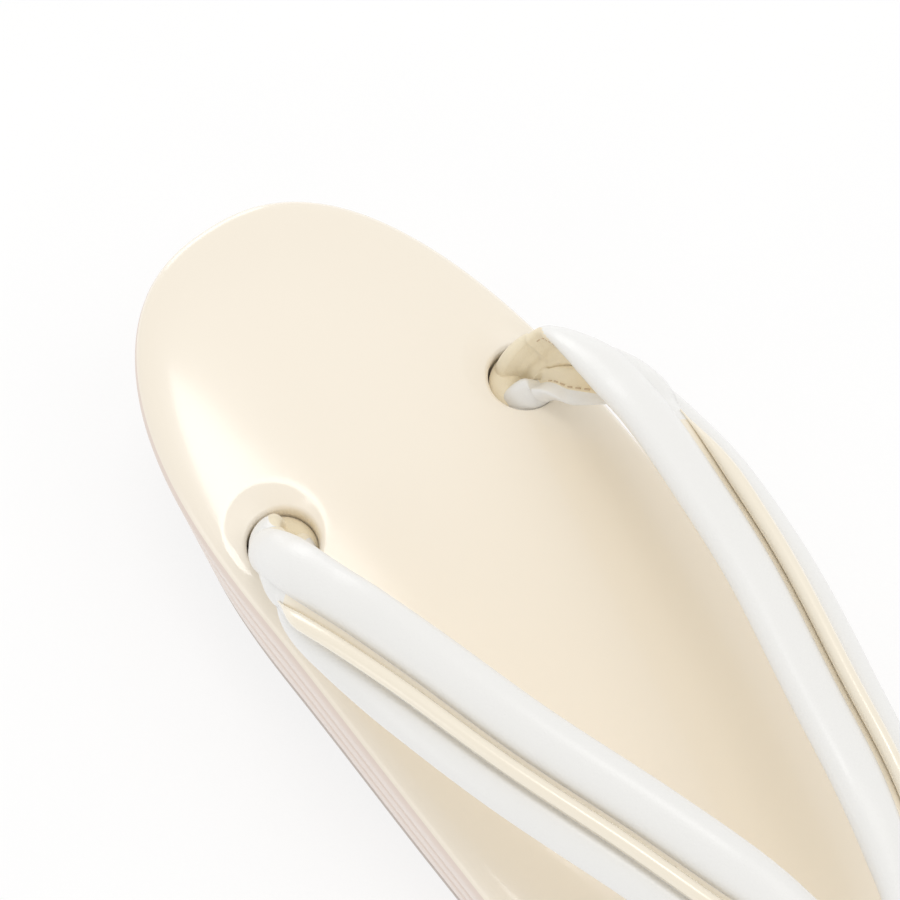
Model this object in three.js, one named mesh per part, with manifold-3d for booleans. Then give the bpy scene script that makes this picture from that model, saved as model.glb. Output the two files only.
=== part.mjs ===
// Zori sandal: a stack of wrapped sole layers, a glossy padded deck and a padded
// two-band thong strap with a raised piping along its fold.
// Millimetres. X runs from heel to toe, Y to the left, Z up. The origin is on the
// floor, halfway along the sole.
import * as THREE from "three";
import { mergeVertices } from "three/addons/utils/BufferGeometryUtils.js";
import Module from "manifold-3d";

const wasm = await Module();
wasm.setup();

// Sole outline
const SOLE_LENGTH = 240;
const HEEL_WIDTH = 76.8;
const BALL_WIDTH = 78.6;
const HEEL_ROUND = 67.7; // length of the rounded heel end
const TOE_ROUND = 66; // length of the rounded toe end
const END_FULLNESS = 2.34; // 2 is an ellipse, more is squarer
const WIDENS_FROM_HEEL = 40.6; // the sole widens from here to the ball
const BALL_FROM_HEEL = 176;

// Heights
const HEEL_HEIGHT = 48;
const FORE_HEIGHT = 22.3;
const DECK_THICKNESS = 10;
const OUTSOLE_THICKNESS = 2.4;
const HEEL_LIFT_HEIGHT = 5;
const HEEL_LIFT_LENGTH = 72;
const HEEL_LIFT_INSET = 1.6;
const HEEL_LIFT_SLANT = 4; // how far the lift's front face leans back to the floor
const ARCH_LENGTH = 38; // from the lift's front to the forefoot's flat
const TOE_SPRING = 4;
const TOE_SPRING_LENGTH = 44;
const WRAPPED_LAYERS = 2; // wedge layers between the deck and the outsole

// Edges
const WALL_LEAN = 0.17; // how far the side leans in for each millimetre of depth
const RIM_ROUND = 3.2; // rounding of the deck's upper edge
const LAYER_ROUND = 1.7; // rounding of the other layers' edges
const OUTSOLE_ROUND = 0.6;
const DECK_CROWN = 1.4; // padding height over the rim
const GAP = 0.3; // clearance between neighbouring pieces

// Strap holes
const REAR_HOLE = 13;
const REAR_HOLE_FROM_HEEL = 57.7;
const REAR_HOLE_SPACING = 54.8;
const FRONT_HOLE = 10;
const FRONT_HOLE_FROM_TOE = 49;
const STRAP_SHIFT = 2; // how far the holes and the strap sit to the left of the middle
const DIMPLE_WIDTH = 3; // how far the deck is drawn in around a hole
const DIMPLE_DEPTH = 1.5;
const HOLE_LIP = 1; // depth over which a dimple rounds down into its hole

// Strap
const STRAP_RISE = 35; // height of the strap's fold line over the deck
const INNER_PANEL = 8.9;
const OUTER_PANEL = 6.1;
const PIPING_WIDTH = 3.6;
const PIPING_HEIGHT = 3.0;
const INNER_PADDING = 3.4;
const OUTER_PADDING = 2.5;
const FOLD_PADDING = 2.4; // over the fold where it has no piping
const LINING_DEPTH = 1.9; // from the band's middle surface to the lining
const SEAT_DEPTH = 0.9; // from the band's middle surface to the piping's seat
const PADDING_FULLNESS = 2.4; // 2 is an elliptical bulge, more is flatter
const LINING_FULLNESS = 4;
const CURL_REACH = 10; // distance from the fold at which a full curl has turned by its bend

// Join of the two bands, and its thong
const NECK_WIDTH = 13;
const NECK_HEIGHT = 10.5;
const NECK_RISE = 26; // height of the join's axis over the deck
const NECK_BACK = 13; // length of the join behind the front hole
const NECK_NOSE = 8.5; // length of the join ahead of the front hole
const NECK_ROUND = 5; // length of the join's rounded ends
const THONG_WIDTH = 7; // along the sole
const THONG_SPAN = 5.8; // across the sole, below the join
const THONG_WALL = 2.2; // thickness over the join
const THONG_ROUND = 0.8;
const THONG_WAIST = 3; // height over which the loop narrows down to its two legs
const LOOP_OPENING = 20; // degrees below the join's axis at which the loop starts to narrow

// Mesh fineness
const SIDE_STEPS = 38; // outline points along one side of the sole
const ROUND_STEPS = 2; // facets over a rounded edge
const STRAP_STEPS = 32;
const CIRCLE_STEPS = 24;
const PIPING_SIDES = 8;
const BEND_STEPS = 12; // steps that add up the bend of a band's section
const SLOPE_STEP = 0.5; // half the length over which the deck's slope is taken
const FRAME_STEP = 0.05; // half the part of a table row over which the fold's direction is taken

const HEEL_END = -SOLE_LENGTH / 2;
const TOE_END = SOLE_LENGTH / 2;
const REAR_HOLE_X = HEEL_END + REAR_HOLE_FROM_HEEL;
const FRONT_HOLE_X = TOE_END - FRONT_HOLE_FROM_TOE;
const LIFT_FRONT_X = HEEL_END + HEEL_LIFT_LENGTH;
const SEAT_HALF_WIDTH = PIPING_WIDTH / 2 + GAP;

const { clamp, degToRad, lerp, smoothstep } = THREE.MathUtils;

// Fall of the deck at evenly spaced places from the heel end to the toe end: 1 is the
// heel height, 0 the forefoot height
const DECK_FALL = [
  { fall: 1.0 },
  { fall: 0.708 },
  { fall: 0.447 },
  { fall: 0.23 },
  { fall: 0.075 },
  { fall: 0.0 },
  { fall: 0.03 },
];

// Share of the deck's crown reached at shares of the way from the middle to the rim
const CROWN_RINGS = [
  { reach: 0.93, crown: 0.3 },
  { reach: 0.82, crown: 0.72 },
  { reach: 0.66, crown: 0.97 },
  { reach: 0.36, crown: 1.0 },
];

// The fold line of one band, on which the piping lies, from inside the rear hole to
// the join. along: share of the way from the rear holes to the front hole. out: share
// of half the rear holes' spacing. rise: share of the strap's rise over the deck.
// tip: degrees that the outer face turns from straight up to outward. back: degrees
// that it turns on towards the heel. bend: degrees that each panel folds down.
// curl: 0 for a fold at the piping, 1 for an even curl. wide, thick: shares of the band.
const STRAP_SECTIONS = [
  { along: 0.022, out: 1.095, rise: -0.2, tip: 90, back: -58, bend: 130, curl: 1, wide: 1.08, thick: 0.34 },
  { along: 0.031, out: 1.095, rise: 0, tip: 90, back: -58, bend: 130, curl: 1, wide: 1.08, thick: 0.34 },
  { along: 0.039, out: 1.168, rise: 0.097, tip: 88, back: -46, bend: 118, curl: 1, wide: 1.06, thick: 0.42 },
  { along: 0.054, out: 1.266, rise: 0.211, tip: 80, back: -30, bend: 94, curl: 1, wide: 1, thick: 0.55 },
  { along: 0.08, out: 1.347, rise: 0.349, tip: 72, back: -12, bend: 74, curl: 0.9, wide: 1, thick: 0.68 },
  { along: 0.118, out: 1.383, rise: 0.486, tip: 61, back: 1, bend: 58, curl: 0.75, wide: 1, thick: 0.8 },
  { along: 0.167, out: 1.369, rise: 0.6, tip: 52, back: 5, bend: 43, curl: 0.5, wide: 1, thick: 0.9 },
  { along: 0.235, out: 1.314, rise: 0.717, tip: 44, back: 3, bend: 25, curl: 0.2, wide: 1, thick: 0.97 },
  { along: 0.34, out: 1.219, rise: 0.831, tip: 34, back: 0, bend: 14, curl: 0, wide: 1, thick: 1 },
  { along: 0.497, out: 1.058, rise: 0.934, tip: 31, back: 0, bend: 10, curl: 0, wide: 1, thick: 1 },
  { along: 0.662, out: 0.832, rise: 0.997, tip: 30, back: 0, bend: 10, curl: 0, wide: 1, thick: 1 },
  { along: 0.797, out: 0.65, rise: 1.014, tip: 33, back: 0, bend: 14, curl: 0, wide: 0.98, thick: 1 },
  { along: 0.887, out: 0.467, rise: 0.943, tip: 42, back: 0, bend: 30, curl: 0.2, wide: 0.8, thick: 0.85 },
  { along: 0.955, out: 0.201, rise: 0.8, tip: 62, back: 0, bend: 55, curl: 0.8, wide: 0.45, thick: 0.5 },
];
const LEFT_PIPING_START = 7.0; // rows of the table above at which the piping begins and ends
const RIGHT_PIPING_START = 4.8;
const PIPING_END = 12.2;
const PIPING_TAPER = 1.3; // rows over which an end of the piping thins out
const FOLD_CLOSES = 1; // rows over which the padding closes over the fold behind the piping
const PIPING_TIP = 0.1; // share of the piping's section left at its very end

// Shares of the length of the join's rounded end at which its rings lie
const NECK_PLACES = [0, 0.12, 0.4, 1];
const NECK_TIP = 0.3; // share of the join's section left at its very end

// Section of the deck drawn in around a hole: shares of the dimple's width out from the
// hole's edge, and of its depth down from the crown
const DIMPLE_SECTION = [
  { reach: 0.2, sink: 1.0 },
  { reach: 0.6, sink: 0.45 },
  { reach: 1.2, sink: 0.0 },
];

// Share of the half-panel at which the band's section has its points, from the edge in
const PANEL_POINTS = [-1, -0.88, -0.55, -0.05, 0.5, 0.86, 1];

function smoothValue(rows, key, position) {
  // Smooth curve through one column of evenly counted rows
  const last = rows.length - 1;
  const i = clamp(Math.floor(position), 0, last - 1);
  const u = clamp(position - i, 0, 1);
  const value = (k) => rows[clamp(k, 0, last)][key];
  const slope = (k) => (value(k + 1) - value(k - 1)) / (k === 0 || k === last ? 1 : 2);
  const rise = u * u * (3 - 2 * u);
  const bendIn = u * (1 - u) * (1 - u) * slope(i);
  const bendOut = u * u * (1 - u) * slope(i + 1);
  return lerp(value(i), value(i + 1), rise) + bendIn - bendOut;
}

// Heights along the sole

function rimZ(x) {
  const share = clamp((x - HEEL_END) / SOLE_LENGTH, 0, 1);
  return lerp(FORE_HEIGHT, HEEL_HEIGHT, smoothValue(DECK_FALL, "fall", share * (DECK_FALL.length - 1)));
}

function rimSlope(x) {
  return (rimZ(x + SLOPE_STEP) - rimZ(x - SLOPE_STEP)) / (2 * SLOPE_STEP);
}

function undersideZ(x) {
  const arch = 1 - smoothstep(x, LIFT_FRONT_X, LIFT_FRONT_X + ARCH_LENGTH);
  const spring = clamp((x - TOE_END + TOE_SPRING_LENGTH) / TOE_SPRING_LENGTH, 0, 1);
  return HEEL_LIFT_HEIGHT * arch + TOE_SPRING * spring * spring;
}

function layerZ(x, share) {
  // Height at a share of the way from the outsole's top to the deck's underside
  return lerp(undersideZ(x) + OUTSOLE_THICKNESS, rimZ(x) - DECK_THICKNESS, share);
}

// Outline of the sole seen from above

function roundEnd(share) {
  const t = 1 - clamp(share, 0, 1);
  return (1 - t ** END_FULLNESS) ** (1 / END_FULLNESS);
}

function halfWidth(x) {
  const fromHeel = x - HEEL_END;
  const widening = smoothstep(fromHeel, WIDENS_FROM_HEEL, BALL_FROM_HEEL);
  const body = lerp(HEEL_WIDTH, BALL_WIDTH, widening) / 2;
  return body * roundEnd(fromHeel / HEEL_ROUND) * roundEnd((TOE_END - x) / TOE_ROUND);
}

function sidePoints() {
  // The left side from the heel end to the toe end, each point with its outward normal
  const xAt = (i) => -Math.cos((Math.PI * i) / SIDE_STEPS) * (SOLE_LENGTH / 2);
  const points = [];
  for (let i = 0; i <= SIDE_STEPS; i += 1) {
    const before = xAt(i - 0.5);
    const after = xAt(i + 0.5);
    const isEnd = i === 0 || i === SIDE_STEPS;
    const dx = isEnd ? 0 : after - before;
    const dy = isEnd ? 1 - (2 * i) / SIDE_STEPS : halfWidth(after) - halfWidth(before);
    const length = Math.hypot(dx, dy);
    const y = isEnd ? 0 : halfWidth(xAt(i));
    points.push({ x: xAt(i), y, nx: -dy / length, ny: dx / length });
  }
  return points;
}

const SIDE = sidePoints();

// Meshes and solids

function mirroredRing(left) {
  // Closes a left-hand chain of points with its mirror image
  const right = left.slice(1, -1).reverse();
  return left.concat(right.map((p) => new THREE.Vector3(p.x, -p.y, p.z)));
}

function capTriangles(offset, count) {
  // Fills a ring whose points i and count - i face each other
  const triangles = [];
  for (let i = 0; i < count / 2; i += 1) {
    const a = offset + i;
    const b = offset + i + 1;
    const c = offset + ((count - i - 1) % count);
    const d = offset + ((count - i) % count);
    if (c !== b) triangles.push([a, b, c]);
    if (d !== a) triangles.push([a, c, d]);
  }
  return triangles;
}

function loft(rings) {
  // Closed solid through rings of equally many points, in millimetres
  const count = rings[0].length;
  const triangles = capTriangles(0, count).map(([a, b, c]) => [a, c, b]);
  for (let r = 0; r < rings.length - 1; r += 1) {
    for (let i = 0; i < count; i += 1) {
      const a = r * count + i;
      const b = r * count + ((i + 1) % count);
      triangles.push([a, b, b + count], [a, b + count, a + count]);
    }
  }
  triangles.push(...capTriangles((rings.length - 1) * count, count));
  return outward(rings.flat(), triangles);
}

function outward(points, triangles) {
  // Geometry of a closed mesh, with its faces turned outward
  const cross = new THREE.Vector3();
  let volume = 0;
  for (const [a, b, c] of triangles) {
    volume += points[a].dot(cross.crossVectors(points[b], points[c]));
  }
  const order = volume < 0 ? ([a, b, c]) => [a, c, b] : (triangle) => triangle;
  const geometry = new THREE.BufferGeometry();
  geometry.setFromPoints(points);
  geometry.setIndex(triangles.flatMap(order));
  return geometry;
}

function toSolid(geometry) {
  const bare = geometry.clone();
  bare.deleteAttribute("normal");
  bare.deleteAttribute("uv");
  const merged = mergeVertices(bare, 1e-4);
  const mesh = new wasm.Mesh({
    numProp: 3,
    vertProperties: new Float32Array(merged.attributes.position.array),
    triVerts: new Uint32Array(merged.index.array),
  });
  return new wasm.Manifold(mesh);
}

function toGeometry(solid) {
  const mesh = solid.getMesh();
  const geometry = new THREE.BufferGeometry();
  geometry.setAttribute("position", new THREE.BufferAttribute(mesh.vertProperties, 3));
  geometry.setIndex(new THREE.BufferAttribute(mesh.triVerts, 1));
  return geometry;
}

// Sole pieces

function soleRing(zAt, rounding) {
  // Ring around the sole at the height zAt(x), drawn in by the wall's lean and a rounding
  const left = SIDE.map(({ x, y, nx, ny }) => {
    const point = new THREE.Vector3(x, y, 0);
    for (let pass = 0; pass < 4; pass += 1) {
      point.z = zAt(point.x);
      const inset = (rimZ(point.x) - point.z) * WALL_LEAN + rounding;
      point.x = x - inset * nx;
      point.y = y - inset * ny;
    }
    return point;
  });
  return mirroredRing(left);
}

function edgeRings(zAt, radius, side) {
  // Rings over a rounded edge; side is 1 for an upper edge and -1 for a lower one
  const rings = [];
  for (let i = 0; i <= ROUND_STEPS; i += 1) {
    const angle = ((Math.PI / 2) * i) / ROUND_STEPS;
    const drop = side * radius * (1 - Math.cos(angle));
    rings.push(soleRing((x) => zAt(x) - drop, radius * (1 - Math.sin(angle))));
  }
  return rings;
}

function slab(topZ, bottomZ, topRound, bottomRound, upperRings = []) {
  const upper = edgeRings(topZ, topRound, 1);
  const lower = edgeRings(bottomZ, bottomRound, -1).reverse();
  return loft([...upperRings, ...upper, ...lower]);
}

function crownRings() {
  // Padding over the deck, in rings that shrink towards the sole's middle line
  const rim = soleRing(rimZ, RIM_ROUND);
  const middleFrom = HEEL_END + HEEL_WIDTH / 2;
  const middleTo = TOE_END - BALL_WIDTH / 2;
  const rings = CROWN_RINGS.map(({ reach, crown }) =>
    rim.map((p) => {
      const x = lerp(clamp(p.x, middleFrom, middleTo), p.x, reach);
      return new THREE.Vector3(x, p.y * reach, rimZ(x) + DECK_CROWN * crown);
    }),
  );
  return rings.reverse();
}

function holeCutter(x, y, diameter) {
  // Round hole square to the deck, with the deck drawn in around it
  const radius = diameter / 2;
  const slope = ({ reach, sink }) => [radius + reach * DIMPLE_WIDTH, DECK_CROWN - sink * DIMPLE_DEPTH];
  const dimple = DIMPLE_SECTION.map(slope);
  const widest = dimple[dimple.length - 1][0];
  const profile = [
    [0, -2 * DECK_THICKNESS],
    [radius, -2 * DECK_THICKNESS],
    [radius, DECK_CROWN - DIMPLE_DEPTH - HOLE_LIP],
    ...dimple,
    [widest, DECK_CROWN + DECK_THICKNESS],
    [0, DECK_CROWN + DECK_THICKNESS],
  ];
  const points = profile.map(([r, z]) => new THREE.Vector2(r, z));
  const geometry = new THREE.LatheGeometry(points, CIRCLE_STEPS);
  geometry.rotateX(Math.PI / 2);
  geometry.rotateY(-Math.atan(rimSlope(x)));
  geometry.translate(x, y, rimZ(x));
  return toSolid(geometry);
}

function footbedGeometry() {
  const underside = (x) => rimZ(x) - DECK_THICKNESS;
  const deck = slab(rimZ, underside, RIM_ROUND, LAYER_ROUND, crownRings());
  const halfSpacing = REAR_HOLE_SPACING / 2;
  const solid = toSolid(deck)
    .subtract(holeCutter(REAR_HOLE_X, STRAP_SHIFT + halfSpacing, REAR_HOLE))
    .subtract(holeCutter(REAR_HOLE_X, STRAP_SHIFT - halfSpacing, REAR_HOLE))
    .subtract(holeCutter(FRONT_HOLE_X, STRAP_SHIFT, FRONT_HOLE));
  return toGeometry(solid);
}

function layerGeometry(index) {
  const top = (x) => layerZ(x, (index + 1) / WRAPPED_LAYERS) - GAP;
  const bottom = (x) => layerZ(x, index / WRAPPED_LAYERS);
  return slab(top, bottom, LAYER_ROUND, LAYER_ROUND);
}

function outsoleGeometry() {
  const top = (x) => undersideZ(x) + OUTSOLE_THICKNESS - GAP;
  return slab(top, undersideZ, OUTSOLE_ROUND, OUTSOLE_ROUND);
}

function heelLiftGeometry() {
  // The heel end of the sole's outline, drawn in, and cut by a slanting front face
  const ringAt = (z, inset) => soleRing(() => z, inset);
  const top = HEEL_LIFT_HEIGHT - GAP;
  const full = loft([ringAt(top, HEEL_LIFT_INSET), ringAt(0, HEEL_LIFT_INSET)]);
  const front = new THREE.Shape();
  front.moveTo(HEEL_END - 1, -1);
  front.lineTo(LIFT_FRONT_X - HEEL_LIFT_SLANT, -1);
  front.lineTo(LIFT_FRONT_X - HEEL_LIFT_SLANT, 0);
  front.lineTo(LIFT_FRONT_X, top);
  front.lineTo(LIFT_FRONT_X, top + 1);
  front.lineTo(HEEL_END - 1, top + 1);
  const block = new THREE.ExtrudeGeometry(front, { depth: 2 * HEEL_WIDTH, bevelEnabled: false });
  block.translate(0, 0, -HEEL_WIDTH);
  block.rotateX(Math.PI / 2);
  return toGeometry(toSolid(full).intersect(toSolid(block)));
}

// Strap

function foldPoint(position) {
  const x = lerp(REAR_HOLE_X, FRONT_HOLE_X, smoothValue(STRAP_SECTIONS, "along", position));
  const y = (REAR_HOLE_SPACING / 2) * smoothValue(STRAP_SECTIONS, "out", position);
  const z = rimZ(x) + STRAP_RISE * smoothValue(STRAP_SECTIONS, "rise", position);
  return new THREE.Vector3(x, y, z);
}

function strapFrame(position) {
  // Place of the fold line, and the band's outward face and outward width direction
  const last = STRAP_SECTIONS.length - 1;
  const before = foldPoint(Math.max(position - FRAME_STEP, 0));
  const along = foldPoint(Math.min(position + FRAME_STEP, last)).sub(before).normalize();
  const tip = degToRad(smoothValue(STRAP_SECTIONS, "tip", position));
  const back = degToRad(smoothValue(STRAP_SECTIONS, "back", position));
  const outX = -Math.sin(back) * Math.sin(tip);
  const outY = Math.cos(back) * Math.sin(tip);
  const face = new THREE.Vector3(outX, outY, Math.cos(tip));
  face.addScaledVector(along, -face.dot(along)).normalize();
  return { place: foldPoint(position), face, across: face.clone().cross(along).normalize() };
}

function bendAngle(w, bend, curl) {
  // Turn of the band's middle surface at the distance w from the fold line
  const fold = clamp(w / SEAT_HALF_WIDTH, -1, 1);
  return bend * lerp(fold, w / CURL_REACH, curl);
}

function middlePoint(w, bend, curl) {
  // Point of the bent middle surface, and its turn, at the distance w from the fold
  let across = 0;
  let face = 0;
  for (let i = 0; i < BEND_STEPS; i += 1) {
    const angle = bendAngle((w * (i + 0.5)) / BEND_STEPS, bend, curl);
    across += (w / BEND_STEPS) * Math.cos(angle);
    face -= (w / BEND_STEPS) * Math.sin(angle);
  }
  return { across, face, angle: bendAngle(w, bend, curl) };
}

function panelPoints() {
  // Distances from the fold line and half thicknesses over the band, inner edge first
  const panel = (width, padding, side) =>
    PANEL_POINTS.map((u) => {
      const bulge = (1 - Math.abs(u) ** PADDING_FULLNESS) ** (1 / PADDING_FULLNESS);
      const isEdge = u === -1;
      const w = side * (SEAT_HALF_WIDTH + (width * (1 - u)) / 2);
      const shell = isEdge ? 0 : SEAT_DEPTH;
      const lining = isEdge ? 0 : LINING_DEPTH * (1 - Math.max(-u, 0) ** LINING_FULLNESS);
      return { w, outer: Math.max(padding * bulge, shell), lining: Math.max(lining, shell) };
    });
  const fold = { w: 0, outer: SEAT_DEPTH, lining: LINING_DEPTH };
  const outerPanel = panel(OUTER_PANEL, OUTER_PADDING, 1).reverse();
  return [...panel(INNER_PANEL, INNER_PADDING, -1), fold, ...outerPanel];
}

const PANEL = panelPoints();

function strapRing(position, pipingStart) {
  const { place, face, across } = strapFrame(position);
  const closed = 1 - smoothstep(position, pipingStart - FOLD_CLOSES, pipingStart);
  const overFold = (p) => (Math.abs(p.w) < 2 * SEAT_HALF_WIDTH ? closed * FOLD_PADDING : 0);
  const value = (key) => smoothValue(STRAP_SECTIONS, key, position);
  const bend = degToRad(value("bend"));
  const at = (w, height) => {
    const middle = middlePoint(w, bend, value("curl"));
    const dAcross = middle.across * value("wide") + height * value("thick") * Math.sin(middle.angle);
    const dFace = middle.face * value("wide") + height * value("thick") * Math.cos(middle.angle);
    return place.clone().addScaledVector(across, dAcross).addScaledVector(face, dFace);
  };
  const outer = PANEL.map((p) => at(p.w, Math.max(p.outer, overFold(p))));
  const lining = PANEL.slice(1, -1).reverse().map((p) => at(p.w, -p.lining));
  return [...outer, ...lining];
}

function bandGeometry(pipingStart) {
  // A left-hand band, from inside the rear hole to the join
  const rings = [];
  for (let i = 0; i <= STRAP_STEPS; i += 1) {
    rings.push(strapRing((i / STRAP_STEPS) * (STRAP_SECTIONS.length - 1), pipingStart));
  }
  return loft(rings);
}

function mirrored(geometry) {
  // Copy on the other side of the sole, with its faces still outward
  const copy = geometry.clone().scale(1, -1, 1);
  const index = copy.index.array;
  for (let i = 0; i < index.length; i += 3) {
    [index[i + 1], index[i + 2]] = [index[i + 2], index[i + 1]];
  }
  return copy;
}

const NECK_Z = rimZ(FRONT_HOLE_X) + NECK_RISE;

function ellipseRing(x, halfY, halfZ) {
  const ring = [];
  for (let i = 0; i < CIRCLE_STEPS; i += 1) {
    const angle = (2 * Math.PI * i) / CIRCLE_STEPS;
    ring.push(new THREE.Vector3(x, halfY * Math.cos(angle), NECK_Z + halfZ * Math.sin(angle)));
  }
  return ring;
}

function neckGeometry() {
  // Round-ended bar under the thong's loop, in which both bands end
  const from = FRONT_HOLE_X - NECK_BACK;
  const to = FRONT_HOLE_X + NECK_NOSE;
  const endRings = (end, inward) =>
    NECK_PLACES.map((place) => {
      const share = Math.max(roundEnd(place), NECK_TIP);
      const x = end + inward * place * NECK_ROUND;
      return ellipseRing(x, (share * NECK_WIDTH) / 2, (share * NECK_HEIGHT) / 2);
    });
  return loft([...endRings(from, 1), ...endRings(to, -1).reverse()]);
}

function hanaoGeometry() {
  const left = toSolid(bandGeometry(LEFT_PIPING_START));
  const right = toSolid(mirrored(bandGeometry(RIGHT_PIPING_START)));
  const solid = left.add(right).add(toSolid(neckGeometry()));
  return toGeometry(solid.translate([0, STRAP_SHIFT, 0]));
}

function pipingGeometry(start) {
  // Cord along a left-hand band's fold, thinning out at both ends
  const rings = [];
  for (let i = 0; i <= STRAP_STEPS; i += 1) {
    const position = lerp(start, PIPING_END, i / STRAP_STEPS);
    const fromEnd = Math.min(position - start, PIPING_END - position) / PIPING_TAPER;
    const share = lerp(PIPING_TIP, 1, smoothstep(fromEnd, 0, 1));
    const { place, face, across } = strapFrame(position);
    const seat = SEAT_DEPTH * smoothValue(STRAP_SECTIONS, "thick", position) + GAP;
    const centre = place.addScaledVector(face, seat + (share * PIPING_HEIGHT) / 2);
    const ring = [];
    for (let side = 0; side < PIPING_SIDES; side += 1) {
      const angle = (2 * Math.PI * side) / PIPING_SIDES;
      const point = centre.clone();
      point.addScaledVector(across, (Math.cos(angle) * share * PIPING_WIDTH) / 2);
      point.addScaledVector(face, (Math.sin(angle) * share * PIPING_HEIGHT) / 2);
      ring.push(point);
    }
    rings.push(ring);
  }
  return loft(rings);
}

function thongGeometry() {
  // Loop over the join whose two legs meet and go down into the front hole
  const bottom = rimZ(FRONT_HOLE_X) - DECK_THICKNESS + 2 * GAP;
  const innerY = NECK_WIDTH / 2 + GAP;
  const innerZ = NECK_HEIGHT / 2 + GAP;
  const outerY = innerY + THONG_WALL;
  const outerZ = innerZ + THONG_WALL;
  const loopFrom = degToRad(-LOOP_OPENING);
  const outline = new THREE.Shape();
  outline.moveTo(-THONG_SPAN / 2, bottom);
  outline.lineTo(THONG_SPAN / 2, bottom);
  outline.lineTo(THONG_SPAN / 2, NECK_Z - outerZ - THONG_WAIST);
  outline.absellipse(0, NECK_Z, outerY, outerZ, loopFrom, Math.PI - loopFrom, false, 0);
  outline.lineTo(-THONG_SPAN / 2, NECK_Z - outerZ - THONG_WAIST);
  const eye = new THREE.Path();
  eye.absellipse(0, NECK_Z, innerY, innerZ, 0, 2 * Math.PI, true, 0);
  outline.holes.push(eye);
  const geometry = new THREE.ExtrudeGeometry(outline, {
    depth: THONG_WIDTH - 2 * THONG_ROUND,
    curveSegments: CIRCLE_STEPS,
    bevelThickness: THONG_ROUND,
    bevelSize: THONG_ROUND,
    bevelOffset: -THONG_ROUND,
    bevelSegments: ROUND_STEPS,
  });
  geometry.translate(0, 0, THONG_ROUND - THONG_WIDTH / 2);
  geometry.rotateX(Math.PI / 2);
  geometry.rotateZ(Math.PI / 2);
  geometry.translate(FRONT_HOLE_X, STRAP_SHIFT, 0);
  return geometry;
}

// Materials

const ENAMEL = { color: 0xf4ead9, roughness: 0.12, metalness: 0 };
const ENAMEL_SIDE = { color: 0xe6d8c9, roughness: 0.2, metalness: 0 };
const DARK_RUBBER = { color: 0x55504b, roughness: 0.8, metalness: 0 };
const PEARL_LEATHER = { color: 0xeeeeec, roughness: 0.35, metalness: 0 };
const CHAMPAGNE = { color: 0xe6d3ae, roughness: 0.3, metalness: 0.2 };

const sandal = new THREE.Group();

function addPiece(name, geometry, look) {
  const mesh = new THREE.Mesh(geometry, new THREE.MeshStandardMaterial(look));
  mesh.name = name;
  sandal.add(mesh);
}

addPiece("footbed", footbedGeometry(), ENAMEL);
for (let index = 0; index < WRAPPED_LAYERS; index += 1) {
  addPiece(`sole_layer_${index + 1}`, layerGeometry(index), ENAMEL_SIDE);
}
addPiece("outsole", outsoleGeometry(), DARK_RUBBER);
addPiece("heel_lift", heelLiftGeometry(), DARK_RUBBER);
addPiece("hanao", hanaoGeometry(), PEARL_LEATHER);
addPiece("toe_thong", thongGeometry(), PEARL_LEATHER);
const leftPiping = pipingGeometry(LEFT_PIPING_START);
const rightPiping = mirrored(pipingGeometry(RIGHT_PIPING_START));
addPiece("piping_left", leftPiping.translate(0, STRAP_SHIFT, 0), CHAMPAGNE);
addPiece("piping_right", rightPiping.translate(0, STRAP_SHIFT, 0), CHAMPAGNE);

export default sandal;
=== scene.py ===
"""Looks of a zori sandal: glossy padded deck, wrapped wedge layers and a padded thong strap."""

import logging
import math
from collections.abc import Callable
from dataclasses import dataclass, field
from enum import Enum

import bmesh
import bpy
from mathutils import Matrix, Vector


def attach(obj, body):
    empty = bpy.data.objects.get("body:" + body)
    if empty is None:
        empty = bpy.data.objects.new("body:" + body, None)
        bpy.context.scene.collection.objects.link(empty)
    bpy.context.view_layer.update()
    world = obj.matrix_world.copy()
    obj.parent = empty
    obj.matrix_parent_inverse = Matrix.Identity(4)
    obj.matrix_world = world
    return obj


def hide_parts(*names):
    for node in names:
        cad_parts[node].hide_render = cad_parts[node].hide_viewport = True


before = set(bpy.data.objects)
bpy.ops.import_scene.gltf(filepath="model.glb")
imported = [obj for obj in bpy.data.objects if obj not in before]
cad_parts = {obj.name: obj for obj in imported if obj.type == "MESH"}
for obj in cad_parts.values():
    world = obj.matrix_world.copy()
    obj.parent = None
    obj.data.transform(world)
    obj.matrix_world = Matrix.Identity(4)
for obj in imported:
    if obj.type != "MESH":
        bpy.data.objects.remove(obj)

log = logging.getLogger("zori")

MM = 0.001
FRAME_PIXELS = 900
SENSOR_MM = 36.0

SOLE_CREASE = 50.0
STRAP_CREASE = 60.0
SOFTPLUS_LIMIT = 40.0
MIDDLE_SHARE = 0.7
MERGE_M = 1e-6

Piece = bpy.types.Object
Material = bpy.types.Material
Socket = bpy.types.NodeSocket
Row = dict[str, float]
Ring = list[Vector]
Triple = tuple[float, float, float]
Curve = Callable[[float], float]


# Plain helpers


def clamp(value: float, low: float, high: float) -> float:
    """Returns value kept between low and high."""
    return max(low, min(high, value))


def lerp(a: float, b: float, share: float) -> float:
    """Returns the place at share of the way from a to b."""
    return a + (b - a) * share


def smoothstep(value: float, low: float, high: float) -> float:
    """Returns a soft rise from 0 at low to 1 at high."""
    t = clamp((value - low) / (high - low), 0.0, 1.0)
    return t * t * (3 - 2 * t)


def circle(points: int) -> list[tuple[float, float]]:
    """Returns the cosine and sine of even turns round a circle."""
    turns = [math.tau * k / points for k in range(points)]
    return [(math.cos(turn), math.sin(turn)) for turn in turns]


def softplus(value: float) -> float:
    """Returns 0 well below zero and value well above it, with a soft turn between."""
    return math.log1p(math.exp(min(value, SOFTPLUS_LIMIT)))


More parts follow.
